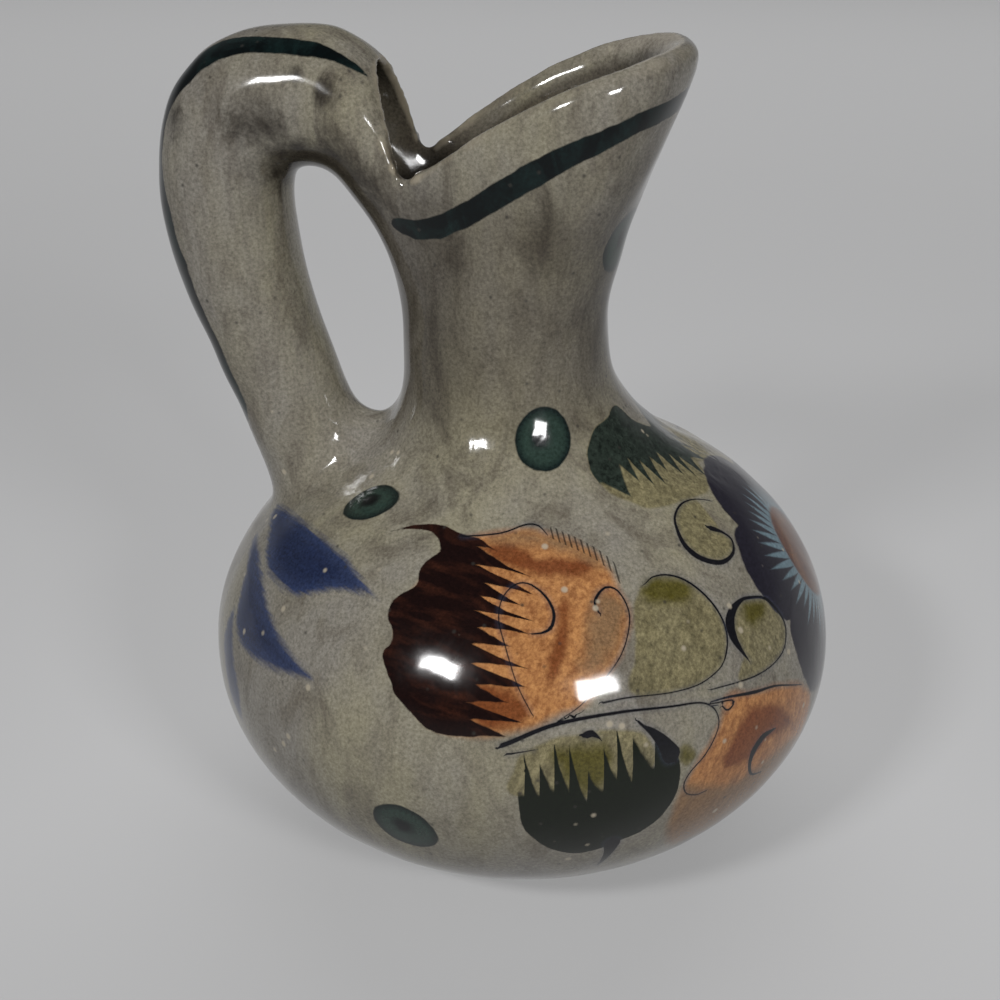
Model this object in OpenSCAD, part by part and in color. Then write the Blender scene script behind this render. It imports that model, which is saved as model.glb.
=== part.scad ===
// Glazed earthenware pitcher with a squat belly, a pouring mouth and a hollow loop handle.
// Its clay pieces are pressed or rolled apart and luted edge to edge with slip before glazing.
// Origin at the middle of the base, +Z up, pouring lip towards +X, handle towards -X.

/* [Belly] */
// Largest outer diameter of the belly
belly_d = 172; // [160:1:190]
// Height that the belly's oval would have if its base and shoulder were not cut off
belly_h = 124; // [110:1:140]
// Diameter of the flat base that is cut off the oval
base_d = 67.7; // [58:0.1:78]
// Thickness of the belly's wall
belly_wall = 5; // [4:0.5:6.5]
// Thickness of the base slab
base_t = 7; // [5:0.5:10]

/* [Neck] */
// Drop of the shoulder's edge, where the neck collar is luted on, from the top of the belly's oval
shoulder_drop = 13; // [11:0.5:17]
// Height of the joint between the neck collar and the neck halves, above the shoulder's edge
collar_h = 18; // [12:1:28]
// Height of the narrowest place of the neck, above the shoulder's edge
waist_h = 39; // [32:1:46]
// Outer diameter of the neck at its narrowest
waist_d = 54; // [48:1:60]
// How far the neck stands towards the handle from the belly's axis
neck_shift = 4.8; // [0:0.2:8]
// Thickness of the neck's wall and of the handle's mouth
neck_wall = 5; // [4:0.5:6]

/* [Mouth] */
// Height of the pouring lip, above the shoulder's edge
spout_h = 114; // [99:1:129]
// Reach of the pouring lip's crest from the belly's axis
spout_x = 40; // [32:1:46]
// Lean of the wall below the pouring lip, from upright
spout_lean = 20; // [12:1:36]
// Where the mouth is widest, from the belly's axis
mouth_x = 11; // [4:1:18]
// Width of the mouth, across the crest of its lip
mouth_w = 54; // [49:1:59]
// Height of the two saddles, where the lip meets the handle's mouth, above the shoulder's edge
saddle_h = 81; // [76:1:88]
// Distance of the saddles from the belly's axis
saddle_x = 28; // [23:1:31]
// Distance between the two saddles, at the middle of the wall
saddle_w = 35; // [30:1:40]
// Thickness of the rolled lip; it thins out to the neck's wall towards the saddles
lip_t = 9; // [7:0.5:10]
// How strongly the lip's line hangs down towards the saddles
lip_sag = 1.7; // [1.2:0.1:2.2]

/* [Handle] */
// Height of the pointed arch of the handle's mouth, above the shoulder's edge
arch_h = 108; // [103:1:111]
// Distance of that arch from the belly's axis
arch_x = 36; // [32:1:40]
// Depth of the neck's notch under the saddles, where the handle's tube is luted in
notch_drop = 14.5; // [12:0.5:18]
// Tilt of the handle's tube in that notch, from upright
notch_tilt = 40; // [30:1:50]
// Outer diameter of the tube on top of the loop
tube_top_d = 35; // [30:0.5:37]
// Outer diameter of the tube at the outer side of the loop
tube_side_d = 35; // [30:0.5:37]
// Outer diameter of the tube where its root collar starts
tube_root_d = 30; // [26:0.5:34]
// Thickness of the tube's wall
tube_wall = 4.5; // [3.5:0.5:6]
// Height of the tube's middle on top of the loop, above the shoulder's edge
loop_h = 98.5; // [95:0.5:104]
// Distance of the loop's top from the belly's axis
loop_x = 57; // [54:1:60]
// Reach of the tube's middle at the outer side of the loop
side_x = 77; // [74:1:84]
// Height of the loop's outermost place, above the shoulder's edge
side_h = 75; // [66:1:78]
// How far the tube's root end stands in from the belly's widest line
root_in = 25; // [22:1:28]
// Height of the tube's root end, above the shoulder's edge
root_h = 13; // [10:1:18]
// Slope of the tube at its root, from upright
root_lean = 18; // [10:1:26]
// How far the root collar spreads at its inner side where it lands; its outer side stays straight
root_flare = 3; // [0:0.5:5]
// Extra width of that collar towards the neck, where it fills the corner
root_web = 4; // [2:0.5:8]
// Thickness of the slip between the root collar and what it lands on
slip_t = 0.1; // [0.05:0.05:0.3]

/* [Hidden] */

clay = "#7a7468";
bare_clay = "#b98a66";

// Steps of the outlines and lofts
bowl_steps = 14;
turn_steps = 48;
lip_turn_steps = 24;
notch_steps = 8;
arch_steps = 12;
fillet_steps = 6;
root_steps = 4;
rise_steps = 9;
bend_steps = 9;
lip_steps = 7;
landing_halvings = 24;

// Fullness of the lofted bends: 0.55 of the way makes a quarter turn round, less is slacker
neck_bow = 0.34;
loop_bow = 0.66;
leg_bow = 0.38;
root_bow = 0.55;

up = [0, 0, 1];
across = [0, 1, 0];
outward = [-1, 0, 0];

belly_r = belly_d / 2;
belly_b = belly_h / 2;
root_x = belly_r - root_in;
// Height of the belly's widest line, with the base on the table, and the heights that stand on it
belly_z = belly_b * sqrt(1 - pow(base_d / belly_d, 2));
shoulder_z = belly_z + belly_b - shoulder_drop;
collar_z = shoulder_z + collar_h;
waist_z = shoulder_z + waist_h;
spout_z = shoulder_z + spout_h;
saddle_z = shoulder_z + saddle_h;
arch_z = shoulder_z + arch_h;
loop_z = shoulder_z + loop_h;
side_z = shoulder_z + side_h;
root_z = shoulder_z + root_h;
shoulder_r = oval_r(belly_r, belly_b, shoulder_z);
shoulder_in_r = oval_r(belly_r - belly_wall, belly_b - belly_wall, shoulder_z);
waist_r = waist_d / 2;
waist_in_r = waist_r - neck_wall;
// Powers at which the neck's fillet leaves the shoulder along the belly's own slope
fillet_power = fillet_fade(belly_r, belly_b, shoulder_r, waist_r);
fillet_in_power = fillet_fade(belly_r - belly_wall, belly_b - belly_wall, shoulder_in_r, waist_in_r);

// Turn from the pouring lip to a saddle, and the reach of the mouth's oval behind its widest place
saddle_turn = 180 - asin(saddle_w / mouth_w);
mouth_back = (saddle_x + mouth_x) / -cos(saddle_turn);
// The lip loses its round edge over this turn before a saddle
lip_fade = 14;
// and its extra thickness over this turn
lip_thin = 60;
saddle = [-saddle_x, 0, saddle_z];
arch = [-arch_x, 0, arch_z] - saddle;
notch_dir = [-sin(notch_tilt), 0, cos(notch_tilt)];
notch_side = [cos(notch_tilt), 0, sin(notch_tilt)];
spout_dir = [sin(spout_lean), 0, cos(spout_lean)];
arch_dir = unit([-2, 0, 1]);
root_dir = [sin(root_lean), 0, -cos(root_lean)];
root_side = [-cos(root_lean), 0, -sin(root_lean)];
root = [-root_x, 0, root_z];

function unit(v) = v / norm(v);
function mix(a, b, t) = a + (b - a) * t;
function backwards(list) = [for (i = [len(list) - 1 : -1 : 0]) list[i]];

// Radius, at a height, of an oval that is centred on the belly's widest line
function oval_r(rx, rz, z) = rx * sqrt(1 - pow((z - belly_z) / rz, 2));

// Outline of such an oval between two heights
function oval(rx, rz, z0, z1) =
    let (a0 = asin((z0 - belly_z) / rz), a1 = asin((z1 - belly_z) / rz))
    [for (i = [0 : bowl_steps])
        let (a = mix(a0, a1, i / bowl_steps))
        [rx * cos(a), belly_z + rz * sin(a)]];

// Cubic bend between two points that leaves along d0 and arrives along d1
function bend(p0, d0, p1, d1, t, bow) =
    let (c = p1 - p0, s = 1 - t, q0 = p0 + d0 * (c * d0) * bow, q1 = p1 - d1 * (c * d1) * bow)
    p0 * s * s * s + q0 * 3 * s * s * t + q1 * 3 * s * t * t + p1 * t * t * t;

// Neck between shoulder and waist: round rings whose middle moves towards the handle
function fillet_fade(rx, rz, edge_r, end_r) =
    pow(rx / rz, 2) * (shoulder_z - belly_z) / edge_r * (waist_z - shoulder_z) / (edge_r - end_r);
function climb(z) = min(1, max(0, (z - shoulder_z) / (waist_z - shoulder_z)));
function neck_mid(z) = -neck_shift * climb(z) * climb(z) * (3 - 2 * climb(z));
function neck_out_r(z) = waist_r + (shoulder_r - waist_r) * pow(1 - climb(z), fillet_power);
function neck_in_r(z) = waist_in_r + (shoulder_in_r - waist_in_r) * pow(1 - climb(z), fillet_in_power);
function ring_point(turn, r, z) = [neck_mid(z) + r * cos(turn), r * sin(turn), z];
function neck_out(turn, z) = ring_point(turn, neck_out_r(z), z);
function neck_in(turn, z) = ring_point(turn, neck_in_r(z), z);

// Crest of the lip, from the pouring lip at turn 0 to a saddle
function crest(turn) =
    let (reach = cos(turn) > 0 ? spout_x - mouth_x : mouth_back, x = mouth_x + reach * cos(turn))
    [x, mouth_w / 2 * sin(turn),
        spout_z - (spout_z - saddle_z) * pow((spout_x - x) / (spout_x + saddle_x), lip_sag)];

// Edge of the handle's mouth: an arch above the saddles (90 is its apex), the notch below (-90)
function mouth_ring(turn, off) =
    saddle + across * cos(turn) * (saddle_w / 2 + off)
    + (turn > 0 ? unit(arch) * (norm(arch) + off) : notch_side * (notch_drop + off)) * sin(turn);

// Rim of the neck: the crest of the lip as far as the saddle, then the notch for the handle
function notch_turn(turn) = -90 * (turn - saddle_turn) / (180 - saddle_turn);
function lip_round(turn) = min(1, max(0, (saddle_turn - turn) / lip_fade));
function lip_half(turn) = mix(neck_wall, lip_t, min(1, max(0, (saddle_turn - turn) / lip_thin))) / 2;
function rim_dir(turn) =
    turn < saddle_turn ? unit(mix(spout_dir, notch_dir, (1 - cos(turn * 180 / saddle_turn)) / 2)) : notch_dir;
function rim_side(turn) =
    let (reach = cos(turn) > 0 ? spout_x - mouth_x : mouth_back,
        flat = unit([cos(turn) / reach, sin(turn) / (mouth_w / 2), 0]), d = rim_dir(turn))
    unit(flat - d * (flat * d));
function rim(turn, off) =
    turn < saddle_turn
    ? crest(turn) - rim_dir(turn) * lip_round(turn) * lip_half(turn) + rim_side(turn) * off
    : mouth_ring(notch_turn(turn), off);

// Half-round edge of a wall, from its outer to its inner face
function lip_points(mid, side, dir, wall, round) =
    [for (i = [1 : lip_steps - 1])
        let (a = 180 * i / lip_steps)
        mid + side * cos(a) * wall / 2 + dir * sin(a) * wall / 2 * round];

// Wall of the neck at one turn: up the outside, over the lip and down the inside
function neck_section(turn) =
    let (half = lip_half(turn), dir = rim_dir(turn),
        edge = rim(turn, half), edge_in = rim(turn, -half),
        foot = neck_out(turn, waist_z), foot_in = neck_in(turn, waist_z))
    concat(
        [for (i = [0 : root_steps]) neck_out(turn, mix(collar_z, waist_z, i / root_steps))],
        [for (i = [1 : rise_steps]) bend(foot, up, edge, dir, i / rise_steps, neck_bow)],
        lip_points(rim(turn, 0), unit(edge - edge_in), dir, 2 * half, lip_round(turn)),
        [for (i = [rise_steps : -1 : 1]) bend(foot_in, up, edge_in, dir, i / rise_steps, neck_bow)],
        [for (i = [root_steps : -1 : 0]) neck_in(turn, mix(collar_z, waist_z, i / root_steps))]);

// Rings of the handle's tube: on top of the loop, at its outer side and at its root
function top_ring(turn, r) = [-loop_x, cos(turn) * r, loop_z + sin(turn) * r];
function side_ring(turn, r) = [-side_x - sin(turn) * r, cos(turn) * r, side_z];
function root_ring(turn, r) = root + across * cos(turn) * r + root_side * sin(turn) * r;
function mouth_dir(turn) = unit(mix(notch_dir, arch_dir, max(0, sin(turn))));

// Line along the tube from its mouth to its root, with the wall's thickness taken off its radius
function tube_line(turn, off, thin) =
    let (mouth = mouth_ring(turn, off) + mouth_dir(turn) * arch_round(turn) * neck_wall / 2,
        top = top_ring(turn, tube_top_d / 2 - thin), side = side_ring(turn, tube_side_d / 2 - thin),
        end = root_ring(turn, tube_root_d / 2 - thin))
    concat(
        [for (i = [0 : bend_steps]) bend(mouth, mouth_dir(turn), top, outward, i / bend_steps, loop_bow)],
        [for (i = [1 : bend_steps]) bend(top, outward, side, -up, i / bend_steps, loop_bow)],
        [for (i = [1 : bend_steps]) bend(side, -up, end, root_dir, i / bend_steps, leg_bow)]);
function arch_round(turn) = min(1, max(0, turn / lip_fade));

// Wall of the tube at one turn: up the outside to the mouth, over its edge and back inside
function tube_section(turn) =
    let (half = neck_wall / 2, out = tube_line(turn, half, 0), in = tube_line(turn, -half, tube_wall))
    concat(
        backwards(out),
        lip_points((out[0] + in[0]) / 2, unit(out[0] - in[0]), -mouth_dir(turn), neck_wall, arch_round(turn)),
        in);

// Outside of the belly and neck, and the point where a line down the handle lands on it
function clear_of_body(p) =
    norm([p.x - neck_mid(p.z), p.y]) - slip_t
    > (p.z < shoulder_z ? oval_r(belly_r, belly_b, p.z) : neck_out_r(p.z));
function land(a, b, n) =
    let (m = (a + b) / 2)
    n == 0 ? a : clear_of_body(m) ? land(m, b, n - 1) : land(a, m, n - 1);
function landing(turn, r) =
    let (start = root_ring(turn, r))
    land(start, start + root_dir * (root_z - belly_z) / 2, landing_halvings);

// Wall of the root collar at one turn: down its flared outside and up its bore
function collar_section(turn) =
    let (r = tube_root_d / 2, bore_r = r - tube_wall, inner = (1 - sin(turn)) / 2, low = max(0, -sin(turn)),
        foot_r = r + root_flare * inner + root_web * low * low,
        foot = landing(turn, foot_r), top = root_ring(turn, r),
        spread = unit(root_dir + (top - root) / r * inner))
    concat(
        [for (i = [0 : fillet_steps]) bend(top, root_dir, foot, spread, i / fillet_steps, root_bow)],
        [landing(turn, (foot_r + bore_r) / 2), landing(turn, bore_r), root_ring(turn, bore_r)]);

// Skin over wall sections that stand side by side: a closed ring, or a half with flat ends
module clay_wall(sections, ring = false) {
    n = len(sections[0]);
    m = len(sections);
    sides = [for (j = [0 : ring ? m - 1 : m - 2], i = [0 : n - 1])
        let (k = (j + 1) % m * n, h = (i + 1) % n)
        each [[j * n + i, k + i, k + h], [j * n + i, k + h, j * n + h]]];
    // A flat end is a strip between the outer and the inner line of its section
    strip = [for (i = [0 : n / 2 - 2]) each [[i, i + 1, n - 2 - i], [i, n - 2 - i, n - 1 - i]]];
    ends = ring ? [] : concat(strip, [for (t = strip) backwards(t) + [1, 1, 1] * (m - 1) * n]);
    polyhedron(points = [for (s = sections) each s], faces = concat(sides, ends));
}

// Pressed bowl wall between two heights of the belly
module bowl(z0, z1) {
    inside = oval(belly_r - belly_wall, belly_b - belly_wall, z0, z1);
    rotate_extrude($fn = 96)
        polygon(concat(oval(belly_r, belly_b, z0, z1), backwards(inside)));
}

// Half of the neck with its half of the lip, on the far side
module neck_half() {
    lip_turns = [for (i = [0 : lip_turn_steps - 1]) saddle_turn * i / lip_turn_steps];
    notch_turns = [for (i = [0 : notch_steps]) mix(saddle_turn, 180, i / notch_steps)];
    clay_wall([for (turn = backwards(concat(lip_turns, notch_turns))) neck_section(turn)]);
}

// Half of the handle's hollow tube, on the far side
module handle_half() {
    arch_turns = [for (i = [arch_steps : -1 : 1]) 90 * i / arch_steps];
    under_turns = [for (i = [0 : notch_steps]) -90 * i / notch_steps];
    clay_wall([for (turn = concat(arch_turns, under_turns)) tube_section(turn)]);
}

module base_slab() {
    color(bare_clay)
        rotate_extrude($fn = 96)
            polygon(concat([[0, 0]], oval(belly_r, belly_b, 0, base_t), [[0, base_t]]));
}

module lower_bowl() {
    color(clay)
        bowl(base_t, belly_z);
}

module upper_bowl() {
    color(clay)
        bowl(belly_z, shoulder_z);
}

module neck_collar() {
    heights = [for (i = [0 : fillet_steps]) mix(shoulder_z, collar_z, i / fillet_steps)];
    color(clay)
        clay_wall([for (i = [0 : turn_steps - 1])
            let (turn = -360 * i / turn_steps)
            concat(
                [for (z = heights) neck_out(turn, z)],
                [for (z = backwards(heights)) neck_in(turn, z)])], ring = true);
}

module neck_near_half() {
    color(clay)
        mirror(across)
            neck_half();
}

module neck_far_half() {
    color(clay)
        neck_half();
}

module handle_near_half() {
    color(clay)
        mirror(across)
            handle_half();
}

module handle_far_half() {
    color(clay)
        handle_half();
}

module handle_root_collar() {
    color(clay)
        clay_wall([for (i = [0 : turn_steps - 1]) collar_section(360 * i / turn_steps)], ring = true);
}

base_slab();
lower_bowl();
upper_bowl();
neck_collar();
neck_near_half();
neck_far_half();
handle_near_half();
handle_far_half();
handle_root_collar();
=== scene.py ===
# Painted and glazed earthenware pitcher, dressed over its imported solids.
# Metres, +Z up, pouring lip towards +X.
import math

import bmesh
import bpy
import numpy as np
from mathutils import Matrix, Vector
from mathutils.kdtree import KDTree


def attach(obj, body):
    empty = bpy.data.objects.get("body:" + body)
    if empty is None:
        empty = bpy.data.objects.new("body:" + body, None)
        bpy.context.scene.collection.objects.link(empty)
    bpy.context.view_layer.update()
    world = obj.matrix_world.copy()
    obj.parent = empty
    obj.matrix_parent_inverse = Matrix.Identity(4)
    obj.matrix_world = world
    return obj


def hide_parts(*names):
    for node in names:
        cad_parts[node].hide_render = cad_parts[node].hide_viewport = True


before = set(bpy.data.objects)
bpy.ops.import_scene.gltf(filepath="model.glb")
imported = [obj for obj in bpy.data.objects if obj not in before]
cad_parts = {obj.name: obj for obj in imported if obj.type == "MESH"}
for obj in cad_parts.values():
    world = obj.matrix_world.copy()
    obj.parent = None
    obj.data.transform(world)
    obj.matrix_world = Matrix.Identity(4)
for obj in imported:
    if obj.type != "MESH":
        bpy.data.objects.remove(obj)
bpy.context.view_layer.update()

# Clay body: pressed and rolled pieces of red clay, luted with slip and rubbed down while
# leather-hard, so that no joint shows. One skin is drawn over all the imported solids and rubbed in
# the same way.
MM = 0.001
SKIN_STEP = 1.1 * MM
RUB_ROUNDS, LONG_RUB_ROUNDS, SPREAD_ROUNDS = 24, 60, 4
RUB_IN, RUB_OUT = 0.5, -0.53
# Bends in millimetres: below the first a form counts as broad, above the second as crisp
BROAD, CRISP = 0.04, 0.09
LUMPS, LUMP_HEIGHT, LUMP_PITCH, THUMB_SEED = 14, 0.11 * MM, (11 * MM, 26 * MM), 7
# Where the rolled pieces start, how far they blend in, and the moulded belly's share of the lumps
ROLLED_FROM, ROLLED_BLEND, MOULDED_SHARE = 85 * MM, 20 * MM, 0.3

clay = bmesh.new()
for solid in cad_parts.values():
    clay.from_mesh(solid.data)
luted = bpy.data.meshes.new("luted_clay")
clay.to_mesh(luted)
clay.free()
body = bpy.data.objects.new("luted_clay", luted)
bpy.context.scene.collection.objects.link(body)
draw_skin = body.modifiers.new("skin", "REMESH")
draw_skin.mode = "VOXEL"
draw_skin.voxel_size = SKIN_STEP
skin = bpy.data.meshes.new_from_object(body.evaluated_get(bpy.context.evaluated_depsgraph_get()))
body.modifiers.clear()
body.data = skin
bpy.data.meshes.remove(luted)


def rows_of(items, name):
    """A vector property of a mesh's points as rows of x, y, z."""
    flat = np.empty(3 * len(items), np.float32)
    items.foreach_get(name, flat)
    return flat.reshape(-1, 3).astype(float)


skin_points = rows_of(skin.vertices, "co")
ends = np.empty(2 * len(skin.edges), np.int32)
skin.edges.foreach_get("vertices", ends)
one_end, other_end = ends.reshape(-1, 2).T
neighbours = np.bincount(ends, minlength=len(skin_points))


def pull_to_neighbours(rows):
    """The way from each skin point to the mean of the points around it."""
    sums = [np.bincount(one_end, part[other_end], len(part))
            + np.bincount(other_end, part[one_end], len(part)) for part in rows.T]
    return np.stack(sums, 1) / neighbours[:, None] - rows


for _ in range(RUB_ROUNDS):
    for share in (RUB_IN, RUB_OUT):
        skin_points += share * pull_to_neighbours(skin_points)


def bend_of_skin():
    """How sharply the skin bends, in millimetres: above 0 on lips and edges, below 0 in hollows."""
    skin.vertices.foreach_set("co", skin_points.astype(np.float32).ravel())
    skin.update()
    normals = rows_of(skin.vertices, "normal")
    bends = -np.sum(pull_to_neighbours(skin_points) * normals, 1)[:, None] / MM
    for _ in range(SPREAD_ROUNDS):
        bends += RUB_IN * pull_to_neighbours(bends)
    return bends, normals


# The broad forms are then rubbed longer, and the lips and edges are left crisp
bend, _ = bend_of_skin()
broad = np.clip((CRISP - np.abs(bend)) / (CRISP - BROAD), 0, 1)
# The two saddles between neck and handle, where a thumb wiped the joint, are rubbed longer too
SADDLE_X, SADDLE_Z, THUMB, THUMB_RUB = -44 * MM, 175 * MM, 9 * MM, 0.25
from_saddle = np.hypot(skin_points[:, 0] - SADDLE_X, skin_points[:, 2] - SADDLE_Z)
broad = np.maximum(broad, THUMB_RUB * np.clip(2 - from_saddle / THUMB, 0, 1)[:, None])
for _ in range(LONG_RUB_ROUNDS):
    skin_points += RUB_IN * broad * pull_to_neighbours(skin_points)
# Hand-rubbed clay stays a little uneven, more on the rolled pieces than on the moulded belly
_, skin_normals = bend_of_skin()
thumb = np.random.default_rng(THUMB_SEED)
lumps = np.zeros(len(skin_points))
for _ in range(LUMPS):
    way, phase = thumb.normal(size=3), thumb.uniform(0, 2 * math.pi)
    pitch = thumb.uniform(*LUMP_PITCH)
    lumps += np.sin(skin_points @ way / np.linalg.norm(way) * 2 * math.pi / pitch + phase)
rolled = np.interp(skin_points[:, 2], (ROLLED_FROM, ROLLED_FROM + ROLLED_BLEND),
                   (MOULDED_SHARE, 1.0))
skin_points += skin_normals * (LUMP_HEIGHT * math.sqrt(2 / LUMPS) * rolled * lumps)[:, None]
skin_points[:, 2] = np.maximum(skin_points[:, 2], 0)
bend, skin_normals = bend_of_skin()
bend = bend[:, 0]
skin.attributes.new("skin_normal", "FLOAT_VECTOR", "POINT").data.foreach_set(
    "vector", skin_normals.astype(np.float32).ravel())
skin.attributes.new("edge", "FLOAT", "POINT").data.foreach_set("value", bend.astype(np.float32))
skin_tree = KDTree(len(skin_points))
for number, point in enumerate(skin_points):
    skin_tree.insert(point, number)
skin_tree.balance()

# Base: a flat slab of clay that the bowl stands on, glazed up to its edge and left bare below.
# It is cut from the luted body just under the bowl's inner floor.
FAR = 130.0
BASE_TOP, BELOW = 6.0, -2.0
# A point made by a cut has a normal shorter than NO_NORMAL. It takes the mean of so many NEARBY
# points of the skin, none of which counts as closer than CLOSEST
NO_NORMAL, NEARBY, CLOSEST = 0.1, 6, 0.1 * MM
pieces = []


def cut_from_body(name, outline, front=-FAR, back=FAR):
    """The part of the body inside an X-Z outline, from front to back, in millimetres."""
    cutter = bmesh.new()
    ends = [[cutter.verts.new((x * MM, y * MM, z * MM)) for x, z in outline] for y in (front, back)]
    for end in ends:
        cutter.faces.new(end)
    for at in range(len(outline)):
        cutter.faces.new((ends[0][at], ends[1][at], ends[1][at - 1], ends[0][at - 1]))
    bmesh.ops.recalc_face_normals(cutter, faces=cutter.faces)
    shape = bpy.data.meshes.new("cutter")
    cutter.to_mesh(shape)
    cutter.free()
    knife = bpy.data.objects.new("cutter", shape)
    bpy.context.scene.collection.objects.link(knife)
    slicing = body.modifiers.new("cut", "BOOLEAN")
    slicing.operation, slicing.solver, slicing.object = "INTERSECT", "MANIFOLD", knife
    cut = body.evaluated_get(bpy.context.evaluated_depsgraph_get())
    mesh = bpy.data.meshes.new_from_object(cut)
    body.modifiers.clear()
    bpy.data.meshes.remove(shape)
    mesh.name = name
    # Points made by the cut take their normal from the skin around them, so that no joint shows
    points = rows_of(mesh.vertices, "co")
    normals = rows_of(mesh.attributes["skin_normal"].data, "vector")
    edges = np.empty(len(points), np.float32)
    mesh.attributes["edge"].data.foreach_get("value", edges)
    for fresh in np.flatnonzero(np.abs(normals).sum(1) < NO_NORMAL):
        around = [(number, 1 / (away + CLOSEST))
                  for _, number, away in skin_tree.find_n(points[fresh], NEARBY)]
        weight = sum(w for _, w in around)
        normals[fresh] = sum(w * skin_normals[number] for number, w in around)
        edges[fresh] = sum(w * bend[number] for number, w in around) / weight
    normals /= np.linalg.norm(normals, axis=1, keepdims=True)
    mesh.attributes["skin_normal"].data.foreach_set("vector", normals.astype(np.float32).ravel())
    mesh.attributes["edge"].data.foreach_set("value", edges)
    mesh.shade_smooth()
    mesh.normals_split_custom_set_from_vertices(normals)
    piece = bpy.data.objects.new(name, mesh)
    bpy.context.scene.collection.objects.link(piece)
    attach(piece, "root")
    pieces.append(piece)
    return piece


base = cut_from_body("base_skin", [(-FAR, BELOW), (FAR, BELOW), (FAR, BASE_TOP), (-FAR, BASE_TOP)])
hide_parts("base_slab")

# Belly: a lower bowl and a shoulder, each pressed in a mould and luted at the widest line. The
# shoulder carries the collars of clay that take the neck and the handle's foot.
BELLY_SEAM, COLLAR_TOP = 57.0, 124.0
NECK_FOOT, ROOT_INNER, ROOT_OUTER = (-40, COLLAR_TOP), (-43, 124.85), (-118, 100.5)
lower = cut_from_body("lower_bowl_skin", [(-FAR, BASE_TOP), (FAR, BASE_TOP), (FAR, BELLY_SEAM),
                                          (-FAR, BELLY_SEAM)])
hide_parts("lower_bowl")
shoulder = cut_from_body("shoulder_skin", [(-FAR, BELLY_SEAM), (FAR, BELLY_SEAM), (FAR, COLLAR_TOP),
                                           NECK_FOOT, ROOT_INNER, ROOT_OUTER,
                                           (-FAR, ROOT_OUTER[1])])
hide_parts("upper_bowl", "neck_collar", "handle_root_collar")

# Neck and handle: each is pressed in two halves that meet on the pitcher's middle plane. The hollow
# handle opens into the mouth at the low point of the rim, so the cut there slopes up to the lip.
SKY = 251.3
SADDLE_LOW, SADDLE_HIGH = (-44.9, 172.9), (48.6, SKY)
NECK = [(FAR, COLLAR_TOP), (FAR, SKY), SADDLE_HIGH, SADDLE_LOW, ROOT_INNER, NECK_FOOT]
HANDLE = [ROOT_OUTER, ROOT_INNER, SADDLE_LOW, SADDLE_HIGH, (-FAR, SKY), (-FAR, ROOT_OUTER[1])]
for part, outline in (("neck", NECK), ("handle", HANDLE)):
    for side, front, back in (("near", -FAR, 0), ("far", 0, FAR)):
        half = cut_from_body(f"{part}_{side}_skin", outline, front, back)
        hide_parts(f"{part}_{side}_half")
bpy.data.meshes.remove(skin)

# Green bands and dots. A loaded brush runs one band of copper green under the lip and a stripe
# along each side of the handle's spine, and dabs round dots with a dark core on neck and belly.
# All painting is laid out in millimetres, and both sides of the pitcher are painted alike: a point
# of the far side takes what its mirror image on the near side has.
canvas = np.vstack([rows_of(piece.data.vertices, "co") for piece in pieces]) / MM
facing = np.vstack([rows_of(piece.data.attributes["skin_normal"].data, "vector")
                    for piece in pieces])
far_side = canvas[:, 1] > 0
canvas[far_side, 1] *= -1
facing[far_side, 1] *= -1
at_x, at_y, at_z = canvas.T
turn_of = np.degrees(np.arctan2(at_y, at_x))
faces_out = np.sum(facing[:, :2] * canvas[:, :2], 1) > 0
BARE = -9.0
# Points on a spot's side face its way by at least SAME_WAY, and lie no deeper than DEEPEST
SAME_WAY, DEEPEST = 0.1, 45.0


def keep(name, *values):
    """Stores up to three values for each point of the skin, for the glaze to read."""
    rows, start = np.zeros((len(canvas), 3), np.float32), 0
    rows[:, :len(values)] = np.stack(values, 1)
    for piece in pieces:
        count = len(piece.data.vertices)
        stored = piece.data.attributes.new(name, "FLOAT_VECTOR", "POINT")
        stored.data.foreach_set("vector", rows[start:start + count].ravel())
        start += count


def lay_out(turn, height):
    """Millimetres right of and above a spot on the skin, and which points lie on its side. A spot
    is given by its turn from the lip in degrees, below 0 on the near side, and its height."""
    round_belly = np.radians(turn_of - turn) * np.hypot(at_x, at_y)
    away = np.hypot(at_z - height, round_belly)
    spot = np.argmin(np.where(faces_out, away, np.inf))
    right = np.array([-math.sin(math.radians(turn)), math.cos(math.radians(turn)), 0])
    above = np.cross(facing[spot], right)
    off = canvas - canvas[spot]
    here = (facing @ facing[spot] > SAME_WAY) & (np.abs(off @ facing[spot]) < DEEPEST)
    return off @ right, off @ above, here


def egg(x, y, centre, half, tilt=0.0):
    """Depth inside an oval of that centre, half length, half width and tilt in degrees."""
    c, s = math.cos(math.radians(tilt)), math.sin(math.radians(tilt))
    u = (x - centre[0]) * c + (y - centre[1]) * s
    v = (y - centre[1]) * c - (x - centre[0]) * s
    return (1 - np.hypot(u / half[0], v / half[1])) * min(half)


# The lip's band: along X, the height of its middle and half its height
LIP_BAND = [
    (-31.5, 177.0, 0.0), (-30.6, 176.8, 1.3), (-28.6, 176.5, 2.1), (-25, 176.1, 2.5),
    (-18, 178.0, 3.1), (-11, 182.2, 3.3), (-4.5, 186.6, 3.5), (1.7, 190.7, 3.6), (8.3, 194.8, 3.3),
    (14, 198.0, 3.0), (20, 200.5, 2.7), (29, 204.5, 2.4), (46, 208.5, 2.4)]
BAND_FROM = 165
band_x, band_z, band_half = np.array(LIP_BAND).T
middle = np.interp(at_x, band_x, band_z)
slope = np.interp(at_x, (band_x[1:] + band_x[:-1]) / 2, np.diff(band_z) / np.diff(band_x))
green_band = np.interp(at_x, band_x, band_half) - np.abs(at_z - middle)
green_band = np.minimum(green_band / np.hypot(1, slope), at_x - band_x[0])
green_band[~faces_out | (at_z < BAND_FROM)] = BARE

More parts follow.
